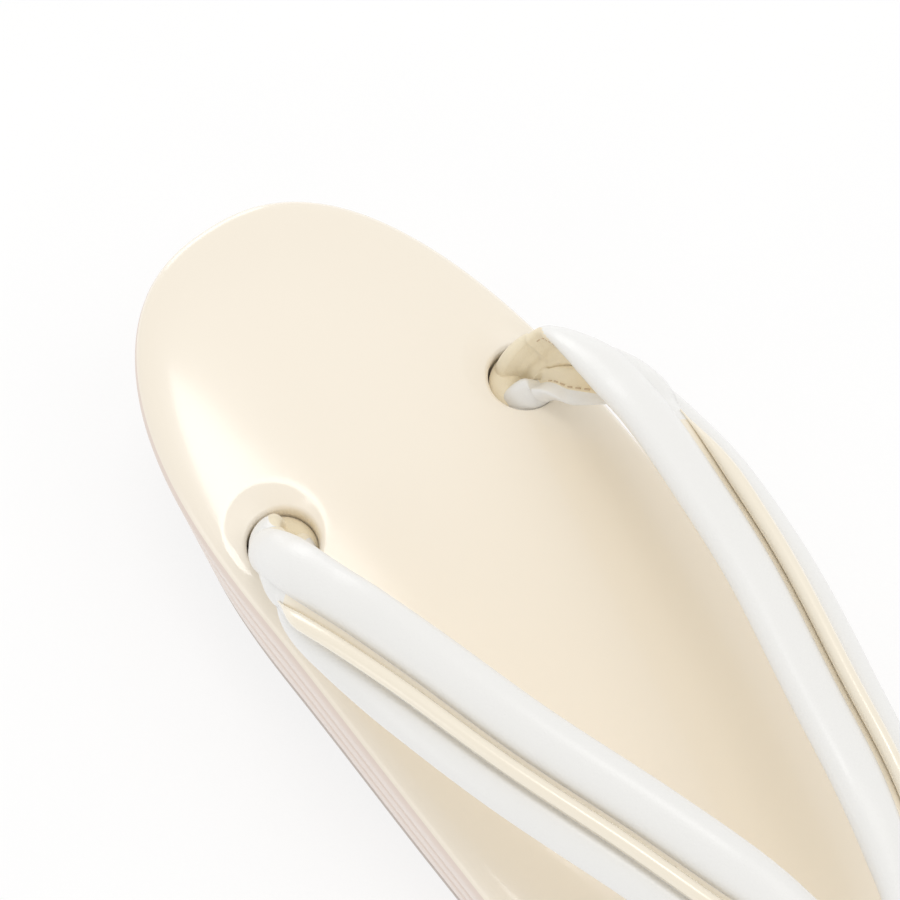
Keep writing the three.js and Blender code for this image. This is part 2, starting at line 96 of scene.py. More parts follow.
@dataclass(frozen=True)
class Span:
    """Stretch of a line over which a change sets in softly."""

    low: float
    high: float

    def rise(self, value: float) -> float:
        """Returns a soft rise from 0 before the stretch to 1 after it."""
        return smoothstep(value, self.low, self.high)

    def fall(self, value: float) -> float:
        """Returns a soft fall from 1 before the stretch to 0 after it."""
        return 1 - self.rise(value)


def smooth_value(rows: list[Row], key: str, position: float) -> float:
    """Follows a smooth curve through one column of evenly counted rows.

    Args:
        rows: Table with named columns.
        key: Column to read.
        position: Row number, with its fraction.

    Returns:
        The column's value there.
    """
    last = len(rows) - 1
    i = int(clamp(math.floor(position), 0, last - 1))
    u = clamp(position - i, 0.0, 1.0)

    def value(k: int) -> float:
        """Returns the column's entry in row k, held at the table's ends."""
        return rows[int(clamp(k, 0, last))][key]

    def slope(k: int) -> float:
        """Returns the column's rise per row at row k."""
        return (value(k + 1) - value(k - 1)) / (1 if k in (0, last) else 2)

    bend_in = u * (1 - u) * (1 - u) * slope(i)
    bend_out = u * u * (1 - u) * slope(i + 1)
    return lerp(value(i), value(i + 1), u * u * (3 - 2 * u)) + bend_in - bend_out


def deselect_all() -> None:
    """Leaves object mode with nothing selected."""
    if bpy.context.object and bpy.context.object.mode != "OBJECT":
        bpy.ops.object.mode_set(mode="OBJECT")
    bpy.ops.object.select_all(action="DESELECT")


def make_active(piece: Piece) -> None:
    """Makes piece the one selected and active object."""
    deselect_all()
    piece.select_set(True)
    bpy.context.view_layer.objects.active = piece


def apply_modifier(piece: Piece, kind: str, **settings: object) -> None:
    """Adds one modifier to a piece and applies it.

    Args:
        piece: Object that gets the modifier.
        kind: Blender's name of the modifier's type.
        settings: Values of the modifier's own properties.
    """
    make_active(piece)
    modifier = piece.modifiers.new(kind.lower(), kind)
    for name, value in settings.items():
        setattr(modifier, name, value)
    bpy.ops.object.modifier_apply(modifier=modifier.name)


def dress(piece: Piece, *finishes: Material, crease: float = STRAP_CREASE) -> None:
    """Gives a piece its finishes and shades it smoothly, apart from sharp creases.

    Args:
        piece: Finished mesh.
        finishes: Materials in the order of the faces' numbers.
        crease: Angle in degrees past which an edge stays sharp.
    """
    for finish in finishes:
        piece.data.materials.append(finish)
    make_active(piece)
    bpy.ops.object.shade_smooth_by_angle(angle=math.radians(crease))
    log.info("%s: %d faces", piece.name, len(piece.data.polygons))


def join_pieces(pieces: list[Piece], name: str) -> Piece:
    """Joins several meshes into one named piece and returns it."""
    make_active(pieces[0])
    for piece in pieces:
        piece.select_set(True)
    bpy.ops.object.join()
    joined = bpy.context.object
    joined.name = name
    return joined


class TubeEnds(Enum):
    """How the two ends of an extruded tube are closed."""

    CAPS = "flat caps"
    MIDDLE_LINE = "both sides merged on a middle line"


@dataclass
class Tube:
    """Closed skin that is extruded ring by ring and then drawn onto its sections."""

    name: str
    rings: list[Ring]
    ends: TubeEnds = TubeEnds.CAPS
    paint: Callable[[int, int], int] | None = None
    chart: Callable[[int, int], tuple[float, float]] | None = None

    def build(self) -> Piece:
        """Extrudes the tube and sets each ring to its section.

        Returns:
            The finished object, at the origin, with its faces outward.
        """
        count = len(self.rings[0])
        deselect_all()
        bpy.ops.mesh.primitive_circle_add(vertices=count, radius=1.0, fill_type="NGON")
        piece = bpy.context.object
        piece.name = self.name
        bpy.ops.object.mode_set(mode="EDIT")
        bpy.ops.mesh.select_all(action="SELECT")
        for _ in self.rings[1:]:
            bpy.ops.mesh.extrude_region_move(TRANSFORM_OT_translate={"value": (0, 0, 1)})
        mesh = bmesh.from_edit_mesh(piece.data)
        places = {v: self._place(v.co, count) for v in mesh.verts}
        self._mark_faces(mesh, places, count)
        for vertex, (ring, k) in places.items():
            vertex.co = self.rings[ring][k] * MM
        bmesh.update_edit_mesh(piece.data)
        if self.ends is TubeEnds.MIDDLE_LINE:
            self._merge_ends(piece, count)
        bpy.ops.mesh.select_all(action="SELECT")
        bpy.ops.mesh.normals_make_consistent(inside=False)
        bpy.ops.object.mode_set(mode="OBJECT")
        return piece

    @staticmethod
    def _place(co: Vector, count: int) -> tuple[int, int]:
        """Returns the ring number and the place in the ring of a raw vertex."""
        turn = math.atan2(co.y, co.x) / math.tau
        return round(co.z), round(turn * count) % count

    def _mark_faces(self, mesh: bmesh.types.BMesh, places: dict, count: int) -> None:
        """Sets each face's finish and its place on the surface's chart."""
        layer = mesh.loops.layers.uv.verify() if self.chart else None
        for face in mesh.faces:
            if len(face.verts) != 4:
                continue
            spots = [places[v] for v in face.verts]
            ring = min(r for r, _ in spots)
            numbers = [k for _, k in spots]
            wraps = max(numbers) - min(numbers) > 1
            k = max(numbers) if wraps else min(numbers)
            if self.paint:
                face.material_index = self.paint(ring, k)
            if layer:
                for loop in face.loops:
                    loop[layer].uv = self.chart(*places[loop.vert])

    @staticmethod
    def _merge_ends(piece: Piece, count: int) -> None:
        """Takes out both flat caps and merges the points that meet there."""
        mesh = bmesh.from_edit_mesh(piece.data)
        bpy.ops.mesh.select_all(action="DESELECT")
        bpy.ops.mesh.select_mode(type="FACE")
        for face in mesh.faces:
            face.select_set(len(face.verts) == count)
        bpy.ops.mesh.delete(type="ONLY_FACE")
        bpy.ops.mesh.select_mode(type="VERT")
        bpy.ops.mesh.select_all(action="SELECT")
        bpy.ops.mesh.remove_doubles(threshold=MERGE_M)


# Finishes

PATCH_DETAIL = 3.0
ROUGHNESS_SPREAD = 0.15
WAVES_PER_M = 38.0
WAVE_DETAIL = 1.0


@dataclass(frozen=True)
class Grain:
    """Relief of a surface: the size of its cells and how deep they are."""

    cells_per_m: float
    depth_mm: float


@dataclass(frozen=True)
class Shading:
    """Nodes and links of one material, with the place on the piece that they read."""

    nodes: bpy.types.Nodes
    links: bpy.types.NodeLinks
    place: Socket

    def pattern(self, kind: str, output: str, **settings: float) -> Socket:
        """Adds a texture that reads the place and returns one of its outputs."""
        node = self.nodes.new(kind)
        for name, value in settings.items():
            node.inputs[name].default_value = value
        self.links.new(self.place, node.inputs["Vector"])
        return node.outputs[output]

    def noise(self, scale: float, detail: float) -> Socket:
        """Adds cloudy patches and returns their value."""
        return self.pattern("ShaderNodeTexNoise", "Fac", Scale=scale, Detail=detail)

    def grain(self, grain: Grain, before: Socket | None = None) -> Socket:
        """Adds the pebbled cells of a leather or rubber and returns their normal."""
        cells = self.pattern("ShaderNodeTexVoronoi", "Distance", Scale=grain.cells_per_m)
        return self.bump(cells, grain.depth_mm, before)

    def bump(self, height: Socket, depth_mm: float, before: Socket | None = None) -> Socket:
        """Adds one bump over an earlier one.

        Args:
            height: Pattern that gives the relief.
            depth_mm: Depth of the relief.
            before: Normal of the bump underneath.

        Returns:
            The new normal.
        """
        bump = self.nodes.new("ShaderNodeBump")
        bump.inputs["Distance"].default_value = depth_mm * MM
        bump.inputs["Strength"].default_value = 1.0
        self.links.new(height, bump.inputs["Height"])
        if before:
            self.links.new(before, bump.inputs["Normal"])
        return bump.outputs["Normal"]


@dataclass(frozen=True)
class Finish:
    """One coloured finish, made as a procedural material."""

    name: str
    color: Triple
    second: Triple
    roughness: float
    grain: Grain
    patches_per_m: float = 22.0
    coat: float = 0.0
    coat_roughness: float = 0.05
    sheen: float = 0.0
    metallic: float = 0.0
    wave_depth_mm: float = 0.0
    fine: Grain | None = None
    glow: float = 0.0

    def make(self) -> Material:
        """Builds the material's nodes.

        Returns:
            The new material.
        """
        material = bpy.data.materials.new(self.name)
        material.use_nodes = True
        nodes = material.node_tree.nodes
        links = material.node_tree.links
        shader = nodes["Principled BSDF"]
        for name, value in (
            ("Metallic", self.metallic),
            ("Coat Weight", self.coat),
            ("Coat Roughness", self.coat_roughness),
            ("Sheen Weight", self.sheen),
            ("Emission Strength", self.glow),
        ):
            shader.inputs[name].default_value = value
        shading = Shading(nodes, links, nodes.new("ShaderNodeTexCoord").outputs["Object"])

        patches = shading.noise(self.patches_per_m, PATCH_DETAIL)
        mix = nodes.new("ShaderNodeMix")
        mix.data_type = "RGBA"
        mix.inputs["A"].default_value = (*self.color, 1.0)
        mix.inputs["B"].default_value = (*self.second, 1.0)
        links.new(patches, mix.inputs["Factor"])
        links.new(mix.outputs["Result"], shader.inputs["Base Color"])

        rough = nodes.new("ShaderNodeMapRange")
        rough.inputs["To Min"].default_value = self.roughness * (1 - ROUGHNESS_SPREAD)
        rough.inputs["To Max"].default_value = self.roughness * (1 + ROUGHNESS_SPREAD)
        links.new(patches, rough.inputs["Value"])
        links.new(rough.outputs["Result"], shader.inputs["Roughness"])

        normal = shading.grain(self.grain)
        if self.fine:
            normal = shading.grain(self.fine, normal)
        if self.wave_depth_mm:
            waves = shading.noise(WAVES_PER_M, WAVE_DETAIL)
            normal = shading.bump(waves, self.wave_depth_mm, normal)
        links.new(normal, shader.inputs["Normal"])
        return material


ENAMEL = Finish(
    name="cream enamel",
    color=(0.925, 0.850, 0.728),
    second=(0.908, 0.828, 0.702),
    roughness=0.3,
    grain=Grain(2600, 0.003),
    coat=1.0,
    coat_roughness=0.1,
    wave_depth_mm=0.1,
)
ENAMEL_SIDE = Finish(
    name="blush enamel side",
    color=(0.790, 0.675, 0.600),
    second=(0.765, 0.650, 0.575),
    roughness=0.4,
    grain=Grain(2400, 0.005),
    coat=0.3,
    coat_roughness=0.15,
    wave_depth_mm=0.1,
)
PEARL_LEATHER = Finish(
    name="pearl leather",
    color=(0.865, 0.860, 0.842),
    second=(0.835, 0.830, 0.812),
    roughness=0.36,
    grain=Grain(2100, 0.03),
    fine=Grain(5200, 0.012),
    coat=0.4,
    coat_roughness=0.25,
    sheen=0.08,
    wave_depth_mm=0.25,
)
CHAMPAGNE = Finish(
    name="champagne leather",
    color=(0.925, 0.855, 0.720),
    second=(0.895, 0.810, 0.660),
    roughness=0.3,
    grain=Grain(3000, 0.01),
    coat=1.0,
    coat_roughness=0.14,
    metallic=0.1,
)
SUEDE = Finish(
    name="beige suede lining",
    color=(0.930, 0.840, 0.650),
    second=(0.860, 0.750, 0.540),
    roughness=0.9,
    grain=Grain(5200, 0.06),
    patches_per_m=160.0,
    sheen=0.3,
)
THREAD = Finish(
    name="beige thread",
    color=(0.70, 0.55, 0.37),
    second=(0.62, 0.48, 0.32),
    roughness=0.7,
    grain=Grain(9000, 0.03),
    sheen=0.2,
)
RUBBER = Finish(
    name="taupe rubber",
    color=(0.60, 0.54, 0.50),
    second=(0.55, 0.495, 0.455),
    roughness=0.75,
    grain=Grain(1500, 0.05),
)

PAPER = Finish(
    name="pale paper",
    color=(0.25, 0.25, 0.25),
    second=(0.245, 0.245, 0.245),
    roughness=0.9,
    grain=Grain(900, 0.01),
    glow=0.73,
)


# Sole

DECK_FALL: list[Row] = [{"fall": fall} for fall in (1.0, 0.708, 0.447, 0.23, 0.075, 0.0, 0.03)]


@dataclass
class SoleShape:
    """Sizes of the sole in millimetres, and the curves that follow from them."""

    length: float = 240.0
    heel_width: float = 76.8
    ball_width: float = 78.6
    heel_round: float = 67.7
    toe_round: float = 66.0
    fullness: float = 2.34
    widens_from: float = 40.6
    ball_from_heel: float = 176.0
    heel_height: float = 48.0
    fore_height: float = 22.3
    lift_height: float = 5.0
    lift_length: float = 72.0
    arch_length: float = 38.0
    toe_spring: float = 4.0
    toe_spring_length: float = 44.0
    wall_lean: float = 0.17
    bow: float = 1.4
    bow_start: Span = Span(-100.0, -40.0)
    bow_end: Span = Span(20.0, 80.0)
    side_steps: int = 260
    ring_passes: int = 4

    def rim_z(self, x: float) -> float:
        """Returns the height of the deck's rim."""
        share = clamp(x / self.length + 0.5, 0.0, 1.0)
        fall = smooth_value(DECK_FALL, "fall", share * (len(DECK_FALL) - 1))
        return lerp(self.fore_height, self.heel_height, fall)

    def rim_slope(self, x: float) -> float:
        """Returns the deck's rise for each millimetre towards the toe."""
        return self.rim_z(x + 0.5) - self.rim_z(x - 0.5)

    def underside_z(self, x: float) -> float:
        """Returns the height of the outsole's underside."""
        front = self.lift_length - self.length / 2
        arch = 1 - smoothstep(x, front, front + self.arch_length)
        spring = clamp((x - self.length / 2) / self.toe_spring_length + 1, 0.0, 1.0)
        return self.lift_height * arch + self.toe_spring * spring * spring

    def round_end(self, share: float) -> float:
        """Returns the share of the full width at a share of an end's length."""
        t = 1 - clamp(share, 0.0, 1.0)
        return (1 - t**self.fullness) ** (1 / self.fullness)

    def half_width(self, x: float) -> float:
        """Returns half the deck's width."""
        from_heel = x + self.length / 2
        widening = smoothstep(from_heel, self.widens_from, self.ball_from_heel)
        body = lerp(self.heel_width, self.ball_width, widening) / 2
        toe = (self.length - from_heel) / self.toe_round
        return body * self.round_end(from_heel / self.heel_round) * self.round_end(toe)

    def side(self) -> list[tuple[float, float, float, float]]:
        """Returns points of the left side from heel to toe, each with its outward normal."""
        steps = self.side_steps

        def x_at(i: float) -> float:
            """Returns the place along the sole, closer together at both ends."""
            return -math.cos(math.pi * i / steps) * self.length / 2

        points = []
        for i in range(steps + 1):
            is_end = i in (0, steps)
            before, after = x_at(i - 0.5), x_at(i + 0.5)
            dx = 0.0 if is_end else after - before
            dy = 1 - 2 * i / steps if is_end else self.half_width(after) - self.half_width(before)
            size = math.hypot(dx, dy)
            y = 0.0 if is_end else self.half_width(x_at(i))
            points.append((x_at(i), y, -dy / size, dx / size))
        return points

    def ring(self, z_at: Curve, rounding: float) -> Ring:
        """Draws a ring round the sole.

        Args:
            z_at: Height of the ring at a place along the sole.
            rounding: How far an edge's rounding draws it in.

        Returns:
            The ring's points, left side first, from heel to toe and back.
        """
        left = []
        for x, y, nx, ny in self.side():
            px, py, z = x, y, 0.0
            for _ in range(self.ring_passes):
                z = z_at(px)
                inset = (self.rim_z(px) - z) * self.wall_lean + rounding
                px, py = x - inset * nx, y - inset * ny
            left.append(Vector((px, py, z)))
        right = [Vector((p.x, -p.y, p.z)) for p in reversed(left[1:-1])]
        return [p + Vector((0, self.shift(p), 0)) for p in left + right]

    def shift(self, p: Vector) -> float:
        """Returns how far the waist's upper part stands to the left of the middle line."""
        along = self.bow_start.rise(p.x) * self.bow_end.fall(p.x)
        low = self.underside_z(p.x)
        return self.bow * along * clamp((p.z - low) / (self.rim_z(p.x) - low), 0.0, 1.0)

    def middle_line(self, ring: Ring, z_at: Curve) -> Ring:
        """Draws the middle line on which a layer's flat face closes."""
        return [Vector((p.x * MIDDLE_SHARE, 0.0, z_at(p.x * MIDDLE_SHARE))) for p in ring]


@dataclass
class EdgeRound:
    """Rounded edge of a layer: its radius, its facets and the slope it starts from."""

    radius: float
    steps: int = 7
    start_degrees: float = 0.0

    def rings(self, sole: SoleShape, z_at: Curve, side: int) -> list[Ring]:
        """Draws the rings over the edge.

        Args:
            sole: Shape that the rings follow.
            z_at: Height of the layer's face.
            side: 1 for an upper edge and -1 for a lower one.

        Returns:
            Rings from the layer's face to its wall.
        """
        rings = []
        for i in range(self.steps + 1):
            angle = lerp(math.radians(self.start_degrees), math.pi / 2, i / self.steps)
            drop = side * self.radius * (1 - math.cos(angle))
            inset = self.radius * (1 - math.sin(angle))
            rings.append(sole.ring(lambda x, d=drop: z_at(x) - d, inset))
        return rings


@dataclass
class Deck:
    """Padded, enamelled top layer with its strap holes."""

    sole: SoleShape
    thickness: float = 10.0
    rim_round: float = 3.8
    rim_steps: int = 9
    lower_round: float = 1.7
    crown: float = 1.1
    crown_flatness: float = 5.0
    rim_slope_degrees: float = 8.0
    hole_x: float = -62.3
    hole_spacing: float = 54.8
    hole_width: float = 13.0
    front_x: float = 71.0
    front_width: float = 10.0
    shift: float = 2.0
    dimple_slope: float = 0.17
    dimple_reach: float = 9.2
    shoulder: float = 0.22
    pull_back: float = 2.6
    lip_round: float = 0.8
    refinements: tuple[tuple[float, int], ...] = ((8.5, 2), (2.0, 1))
    skin_depth: float = 0.5
    hole_margin: float = 1.0
    hole_facets: int = 96
    cutter_length: float = 50.0
    side_below: float = 0.45
    crown_steps: int = 44

    def holes(self) -> list[Triple]:
        """Returns each hole's place along and across the sole, and its width."""
        half = self.hole_spacing / 2
        rear = [(self.hole_x, self.shift + s * half, self.hole_width) for s in (1, -1)]
        return rear + [(self.front_x, self.shift, self.front_width)]

    def from_holes(self, x: float, y: float) -> list[float]:
        """Returns the distance of a place from each hole's edge."""
        return [math.hypot(x - hx, y - hy) - width / 2 for hx, hy, width in self.holes()]

    def is_skin(self, x: float, z: float) -> bool:
        """Returns whether a place lies on the deck's upper skin."""
        return z > self.sole.rim_z(x) - self.skin_depth

    def dimple(self, x: float, y: float) -> float:
        """Returns how far the deck's skin is drawn in round the holes."""
        depth = 0.0
        for hole_x, hole_y, width in self.holes():
            away = max(math.hypot(x - hole_x, y - hole_y) - width / 2, 0.0)
            from_pull = math.hypot(x - hole_x + self.pull_back, y - hole_y)
            inside = (self.dimple_reach * width / self.hole_width - from_pull) / self.shoulder
            depth += self.dimple_slope * self.shoulder * softplus(inside)
            inward = max(self.lip_round - away, 0.0)
            depth += self.lip_round - math.sqrt(self.lip_round**2 - inward**2)
        return depth

    def crown_rings(self, rim: Ring) -> list[Ring]:
        """Draws the padding's rings from the rim to the middle line."""
        low = (self.sole.heel_width - self.sole.length) / 2
        high = (self.sole.length - self.sole.ball_width) / 2
        rings = []
        for i in range(1, self.crown_steps + 1):
            reach = 1 - i / self.crown_steps
            crown = 1 - reach**self.crown_flatness
            ring = []
            for p in rim:
                x = lerp(clamp(p.x, low, high), p.x, reach)
                y = p.y * reach
                ring.append(Vector((x, y, self.sole.rim_z(x) + self.crown * crown)))
            rings.append(ring)
        return rings

    def draw_in(self, deck: Piece) -> None:
        """Refines the skin round the holes and draws it in there."""
        make_active(deck)
        bpy.ops.object.mode_set(mode="EDIT")
        bpy.ops.mesh.select_mode(type="FACE")
        for reach, cuts in self.refinements:
            bpy.ops.mesh.select_all(action="DESELECT")
            mesh = bmesh.from_edit_mesh(deck.data)
            for face in mesh.faces:
                middle = face.calc_center_median() / MM
                near = any(-reach < away < reach for away in self.from_holes(middle.x, middle.y))
                face.select_set(near and self.is_skin(middle.x, middle.z))
            bpy.ops.mesh.subdivide(number_cuts=cuts)
        mesh = bmesh.from_edit_mesh(deck.data)
        for vertex in mesh.verts:
            x, y, z = vertex.co / MM
            if self.is_skin(x, z):
                vertex.co.z -= self.dimple(x, y) * MM
        bmesh.update_edit_mesh(deck.data)
        bpy.ops.object.mode_set(mode="OBJECT")

    def cut_hole(self, deck: Piece, x: float, y: float, width: float) -> None:
        """Cuts one round hole square to the deck."""
        deselect_all()
        bpy.ops.mesh.primitive_cylinder_add(
            vertices=self.hole_facets, radius=width / 2 * MM, depth=self.cutter_length * MM
        )
        cutter = bpy.context.object
        tilt = Matrix.Rotation(-math.atan(self.sole.rim_slope(x)), 4, "Y")
        place = Matrix.Translation(Vector((x, y, self.sole.rim_z(x))) * MM)
        cutter.data.transform(place @ tilt)
        apply_modifier(deck, "BOOLEAN", operation="DIFFERENCE", object=cutter, solver="EXACT")
        bpy.data.objects.remove(cutter, do_unlink=True)

    def build(self, finish: Material, side: Material) -> Piece:
        """Makes the deck, cuts its holes and dresses its top and its side."""
        sole = self.sole

        def under(x: float) -> float:
            """Returns the height of the deck's underside."""
            return sole.rim_z(x) - self.thickness

        edge = EdgeRound(self.rim_round, self.rim_steps, self.rim_slope_degrees)
        upper = edge.rings(sole, sole.rim_z, 1)
        lower = EdgeRound(self.lower_round).rings(sole, under, -1)
        middle = sole.middle_line(lower[0], under)
        rings = [middle, *lower, *reversed(upper), *self.crown_rings(upper[0])]
        deck = Tube("deck_cover", rings, TubeEnds.MIDDLE_LINE).build()
        self.draw_in(deck)
        for hole in self.holes():
            self.cut_hole(deck, *hole)
        dress(deck, finish, side, crease=SOLE_CREASE)
        for face in deck.data.polygons:
            x, y, _ = face.center / MM
            in_hole = min(self.from_holes(x, y)) < self.hole_margin
            face.material_index = int(face.normal.z < self.side_below and not in_hole)
        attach(deck, "root")
        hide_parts("footbed")
        return deck


@dataclass
class SoleStack:
    """Wrapped wedge layers, outsole and heel lift under the deck."""

    sole: SoleShape
    deck_thickness: float = 10.0
    outsole_thickness: float = 2.4
    gap: float = 0.3
    layer_round: float = 1.7
    outsole_round: float = 0.6

    def _slab(self, name: str, top: Curve, bottom: Curve, radius: float) -> Piece:
        """Makes one layer between two height curves."""
        upper = EdgeRound(radius).rings(self.sole, top, 1)
        lower = EdgeRound(radius).rings(self.sole, bottom, -1)
        first = self.sole.middle_line(lower[0], bottom)
        last = self.sole.middle_line(upper[0], top)
        rings = [first, *lower, *reversed(upper), last]
        return Tube(name, rings, TubeEnds.MIDDLE_LINE).build()

    def layer_z(self, x: float, share: float) -> float:
        """Returns the height at a share of the way from outsole to deck."""
        low = self.sole.underside_z(x) + self.outsole_thickness
        return lerp(low, self.sole.rim_z(x) - self.deck_thickness, share)

    def build(self, side: Material, ground: Material) -> list[Piece]:
        """Makes both wrapped layers and the outsole, and dresses the heel lift."""
        pieces = []
        for index in (0, 1):
            piece = self._slab(
                f"wrapped_layer_{index + 1}",
                lambda x, i=index: self.layer_z(x, (i + 1) / 2) - self.gap,
                lambda x, i=index: self.layer_z(x, i / 2),
                self.layer_round,
            )
            dress(piece, side, crease=SOLE_CREASE)
            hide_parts(f"sole_layer_{index + 1}")
            pieces.append(piece)
        outsole = self._slab(
            "ground_sheet",
            lambda x: self.sole.underside_z(x) + self.outsole_thickness - self.gap,
            self.sole.underside_z,
            self.outsole_round,
        )
        dress(outsole, ground, crease=SOLE_CREASE)
        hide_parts("outsole")
        pieces.append(outsole)
        for piece in pieces:
            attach(piece, "root")
        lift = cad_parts["heel_lift"]
        lift.data.materials.clear()
        lift.data.materials.append(ground)
        return pieces


# Strap

STRAP_COLUMNS = ("along", "out", "rise", "tip", "back", "bend", "curl", "wide", "thick")
STRAP_SECTIONS: list[Row] = [
    dict(zip(STRAP_COLUMNS, row))
    for row in (
        (0.027, 1.083, -0.2, 90, -58, 172, 1, 1.25, 0.56),
        (0.03, 1.09, 0, 90, -58, 172, 1, 1.25, 0.56),
        (0.039, 1.168, 0.097, 88, -46, 140, 1, 1.12, 0.48),
        (0.054, 1.266, 0.211, 80, -30, 104, 1, 1.02, 0.56),
        (0.08, 1.347, 0.349, 72, -12, 74, 0.9, 1, 0.68),
        (0.118, 1.383, 0.486, 61, 1, 58, 0.75, 1, 0.8),
        (0.167, 1.369, 0.6, 52, 5, 43, 0.5, 1, 0.9),
        (0.235, 1.314, 0.717, 44, 3, 25, 0.2, 1, 0.97),
        (0.34, 1.219, 0.831, 34, 0, 14, 0, 1, 1),
        (0.497, 1.058, 0.934, 31, 0, 10, 0, 1, 1),
        (0.662, 0.832, 0.997, 30, 0, 10, 0, 1, 1),
        (0.797, 0.65, 1.014, 33, 0, 14, 0, 0.98, 1),
        (0.887, 0.467, 0.943, 42, 0, 30, 0.2, 0.8, 0.85),
        (0.955, 0.201, 0.8, 62, 0, 55, 0.8, 0.45, 0.5),
    )
]


@dataclass
class StrapShape:
    """Sizes of the strap in millimetres, and the frame that runs along its fold."""

    sole: SoleShape
    deck: Deck
    rows: list[Row] = field(default_factory=lambda: STRAP_SECTIONS)
    rise: float = 35.0
    inner_panel: float = 9.3
    outer_panel: float = 6.5
    piping_width: float = 2.8
    piping_height: float = 3.0
    seat_width: float = 3.4
    inner_padding: float = 3.4
    outer_padding: float = 2.5
    fold_padding: float = 2.4
    lining_depth: float = 1.9
    seat_depth: float = 0.9
    curl_reach: float = 10.0
    gap: float = 0.05
    panel_steps: int = 20
    panel_fullness: float = 2.4
    shell_rise: float = 9.0
    lining_fullness: float = 4.0
    seat_shares: tuple[float, ...] = (-0.6, -0.25, 0.0, 0.25, 0.6)
    crease_depth: float = 0.7
    crease_width: float = 0.22
    frame_step: float = 0.05
    middle_steps: int = 12

    @property
    def seat(self) -> float:
        """Half the width of the seat that the piping lies in."""
        return self.seat_width / 2

    def value(self, key: str, position: float) -> float:
        """Returns one column's value at a place along the band."""
        return smooth_value(self.rows, key, position)

    def fold(self, position: float) -> Vector:
        """Returns the point of the fold line at a place along the band."""
        x = lerp(self.deck.hole_x, self.deck.front_x, self.value("along", position))
        y = self.deck.hole_spacing / 2 * self.value("out", position)
        return Vector((x, y, self.sole.rim_z(x) + self.rise * self.value("rise", position)))

    def frame(self, position: float) -> tuple[Vector, Vector, Vector]:
        """Returns the fold's point, the outward face and the outward width direction."""
        before = self.fold(max(position - self.frame_step, 0))
        after = self.fold(min(position + self.frame_step, len(self.rows) - 1))
        along = (after - before).normalized()
        tip = math.radians(self.value("tip", position))
        back = math.radians(self.value("back", position))
        flat = math.sin(tip)
        face = Vector((-math.sin(back) * flat, math.cos(back) * flat, math.cos(tip)))
        face = (face - along * face.dot(along)).normalized()
        return self.fold(position), face, face.cross(along).normalized()

    def bend_angle(self, w: float, bend: float, curl: float) -> float:
        """Returns the turn of the middle surface at a distance from the fold."""
        return bend * lerp(clamp(w / self.seat, -1, 1), w / self.curl_reach, curl)

    def middle(self, w: float, bend: float, curl: float) -> Triple:
        """Returns the middle surface's place across and out, and its turn."""
        across = face = 0.0
        for i in range(self.middle_steps):
            angle = self.bend_angle(w * (i + 0.5) / self.middle_steps, bend, curl)
            across += w / self.middle_steps * math.cos(angle)
            face -= w / self.middle_steps * math.sin(angle)
        return across, face, self.bend_angle(w, bend, curl)

    def lining_at(self, u: float) -> float:
        """Returns the lining's depth, where u goes from -1 at a panel's edge to 1 at the fold."""
        return self.lining_depth * (1 - max(-u, 0) ** self.lining_fullness)

    def profile(self) -> list[Triple]:
        """Lists the band's section from its inner edge to its outer edge.

        Returns:
            For each point its distance from the fold, the padding's height over the
            middle surface and the lining's depth under it.
        """
        points = []
        for width, padding, side in (
            (self.inner_panel, self.inner_padding, -1),
            (self.outer_panel, self.outer_padding, 1),
        ):
            panel = []
            for i in range(self.panel_steps + 1):
                u = -math.cos(math.pi * i / self.panel_steps)
                w = side * (self.seat + width * (1 - u) / 2)
                bulge = (1 - abs(u) ** self.panel_fullness) ** (1 / self.panel_fullness)
                shell = self.seat_depth * min(1.0, (u + 1) * self.shell_rise)
                panel.append((w, max(padding * bulge, shell), max(self.lining_at(u), shell)))
            points.append(panel)
        inner, outer = points
        seat = []
        for share in self.seat_shares:
            crease = self.crease_depth * math.exp(-((share / self.crease_width) ** 2))
            seat.append((share * self.seat, self.seat_depth, self.lining_depth - crease))
        return [*inner, *seat, *reversed(outer)]


@dataclass(frozen=True)
class Seam:
    """Stitches that hold a lining: millimetres, but start to look_ahead in table rows."""

    radius: float = 0.16
    length: float = 1.1
    facets: int = 8
    bevel: float = 0.08
    bevel_steps: int = 2
    pitch: float = 1.8
    stand: float = 0.06
    start: float = 2.4
    stop: float = 2.2
    step: float = 0.008
    look_ahead: float = 0.05
    outer_inset: float = 2.0
    inner_inset: tuple[float, float] = (0.4, 1.0)
    inner_change: Span = Span(5.0, 7.5)


@dataclass(frozen=True)
class Gather:
    """Sizes in millimetres of the lining that is gathered in a rear hole."""

    rings: int = 15
    facets: int = 48
    clearance: float = 0.25
    sink: float = 0.9
    edge_sink: float = 1.3
    crease_depth: float = 0.9
    crease_turn: tuple[float, float] = (0.8, 0.6)
    depth: float = 6.0


